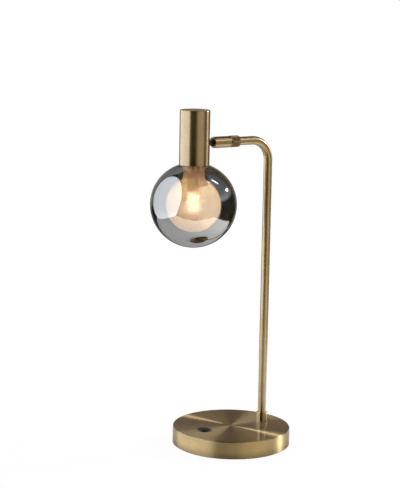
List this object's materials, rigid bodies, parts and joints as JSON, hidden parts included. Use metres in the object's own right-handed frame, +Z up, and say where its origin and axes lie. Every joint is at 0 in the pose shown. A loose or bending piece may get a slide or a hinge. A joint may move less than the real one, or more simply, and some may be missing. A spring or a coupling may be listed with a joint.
{
  "type": "desk lamp",
  "caption": "Desk lamp: round weighted base, inverted-L tube, ball swivel with a knurled lock ring, and a brass cup over a smoked globe with a frosted inner globe.",
  "frame": {"origin": "centre of the base's underside, on the surface that the lamp stands on", "axes": "+Z is up; the pole stands at +X and the arm runs from it towards -X, so the head is at -X; +Y completes the right-handed frame"},
  "size_m": [0.2179, 0.168, 0.4826],
  "materials": {
    "brushed_brass": "antique brass, brushed along the turning direction, lacquered",
    "dark_brass": "dark bronzed brass, satin",
    "zinc_steel": "zinc-plated steel",
    "cast_iron": "as cast, painted dark",
    "pad_rubber": "matt black rubber",
    "silicone": "translucent grey silicone",
    "lead_sheath": "smooth insulated sheath",
    "white_plastic": "moulded white plastic",
    "black_plastic": "moulded black plastic, semi-gloss",
    "brown_plastic": "moulded brown thermoset",
    "copper_alloy": "bright spring bronze",
    "ceramic": "glazed cream ceramic",
    "smoked_glass": "smoked, with a thin mirror film, polished",
    "frosted_glass": "acid-frosted, lit from inside",
    "bulb_glass": "clear capsule, lit"
  },
  "bodies": {
    "stand": {"base_cover": "brushed_brass", "base_weight": "cast_iron", "bottom_plate": "zinc_steel", "plate_screws": "zinc_steel", "base_pad": "pad_rubber", "cord_grommet": "pad_rubber", "pole_collar": "brushed_brass", "pole_tube": "brushed_brass", "pole_nipple": "zinc_steel", "pole_washer": "zinc_steel", "pole_nut": "zinc_steel", "arm_nipple": "zinc_steel", "lamp_lead": "lead_sheath", "terminal_block": "white_plastic", "switch_barrel": "black_plastic", "switch_nut": "zinc_steel", "switch_base": "brown_plastic", "switch_terminals": "copper_alloy", "switch_spring": "zinc_steel", "switch_leads": "lead_sheath"},
    "button": {"switch_button": "black_plastic"},
    "lock_ring": {"lock_ring": "brushed_brass"},
    "swivel": {"swivel_sleeve": "brushed_brass", "ball_seat": "white_plastic", "seat_spring": "zinc_steel"},
    "head": {"ball_stud": "dark_brass", "saddle_washer": "zinc_steel", "stud_washer": "zinc_steel", "stud_nut": "zinc_steel", "cup_shell": "brushed_brass", "holder_bracket": "zinc_steel", "bracket_screws": "zinc_steel", "lampholder": "ceramic", "holder_contacts": "copper_alloy", "glass_gasket": "silicone", "shade_ring": "brown_plastic", "outer_globe": "smoked_glass", "inner_globe": "frosted_glass", "bulb_capsule": "bulb_glass", "bulb_core": "ceramic", "bulb_pins": "zinc_steel", "head_lead": "lead_sheath"}
  },
  "joints": [
    {"name": "switch_press", "type": "slide", "parent": "stand", "child": "button", "axis": [0, 0, -1], "range_m": [0, 0.0016], "stiffness_N_per_m": 1200, "springref_m": -0.001, "deforming": ["switch_spring"]},
    {"name": "lock_ring_turn", "type": "hinge", "parent": "stand", "child": "lock_ring", "pos_m": [-0.007, 0, 0.4363], "axis": [1, 0, 0], "range_deg": [0, 180]},
    {"name": "swivel_turn", "type": "hinge", "parent": "stand", "child": "swivel", "pos_m": [-0.03826, 0, 0.4363], "axis": [1, 0, 0], "range_deg": [-170, 170]},
    {"name": "head_tilt", "type": "hinge", "parent": "swivel", "child": "head", "pos_m": [-0.03826, 0, 0.4363], "axis": [0, 1, 0], "range_deg": [-30, 30]}
  ]
}
